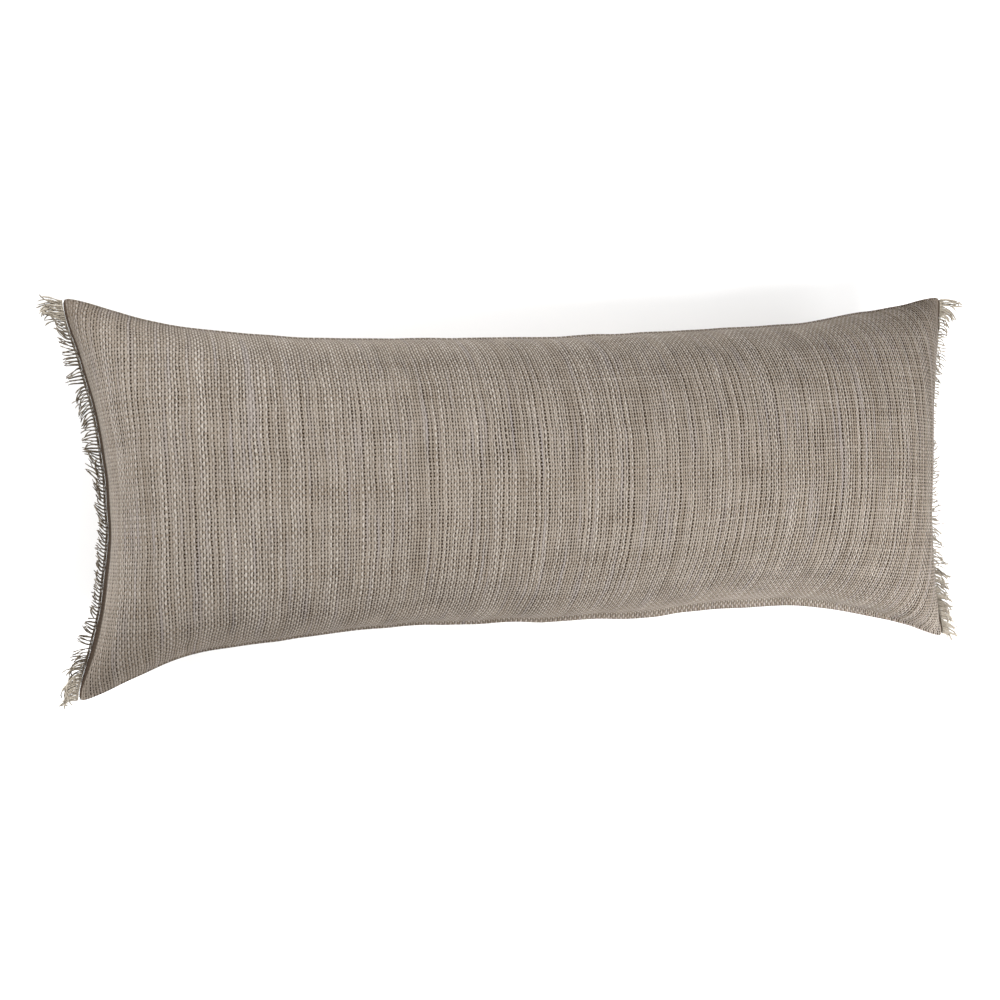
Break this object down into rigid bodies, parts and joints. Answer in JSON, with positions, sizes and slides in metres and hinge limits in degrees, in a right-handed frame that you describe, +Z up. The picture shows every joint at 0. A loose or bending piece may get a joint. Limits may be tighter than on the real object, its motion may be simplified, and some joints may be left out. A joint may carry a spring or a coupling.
{
  "type": "lumbar throw pillow",
  "caption": "Long rectangular filled pillow in coarse handspun cloth, with a rounded crown, drawn-in sides and a short frayed fringe along both short ends.",
  "frame": {"origin": "on the surface the pillow lies on, under the middle of its bounding box", "axes": "+X along the length, +Y across it towards the upper long edge, +Z up through the front's crown"},
  "size_m": [0.9126, 0.3542, 0.1587],
  "materials": {
    "homespun_cloth": "coarse plain weave of uneven taupe and greige yarns, matte, with irregular stripes across the short way",
    "fringe_yarn": "loose two-ply taupe and brown yarns frayed from the same cloth, matte"
  },
  "bodies": {
    "root": {"filled_cover": "homespun_cloth", "left_fringe": "fringe_yarn", "right_fringe": "fringe_yarn"}
  },
  "joints": []
}
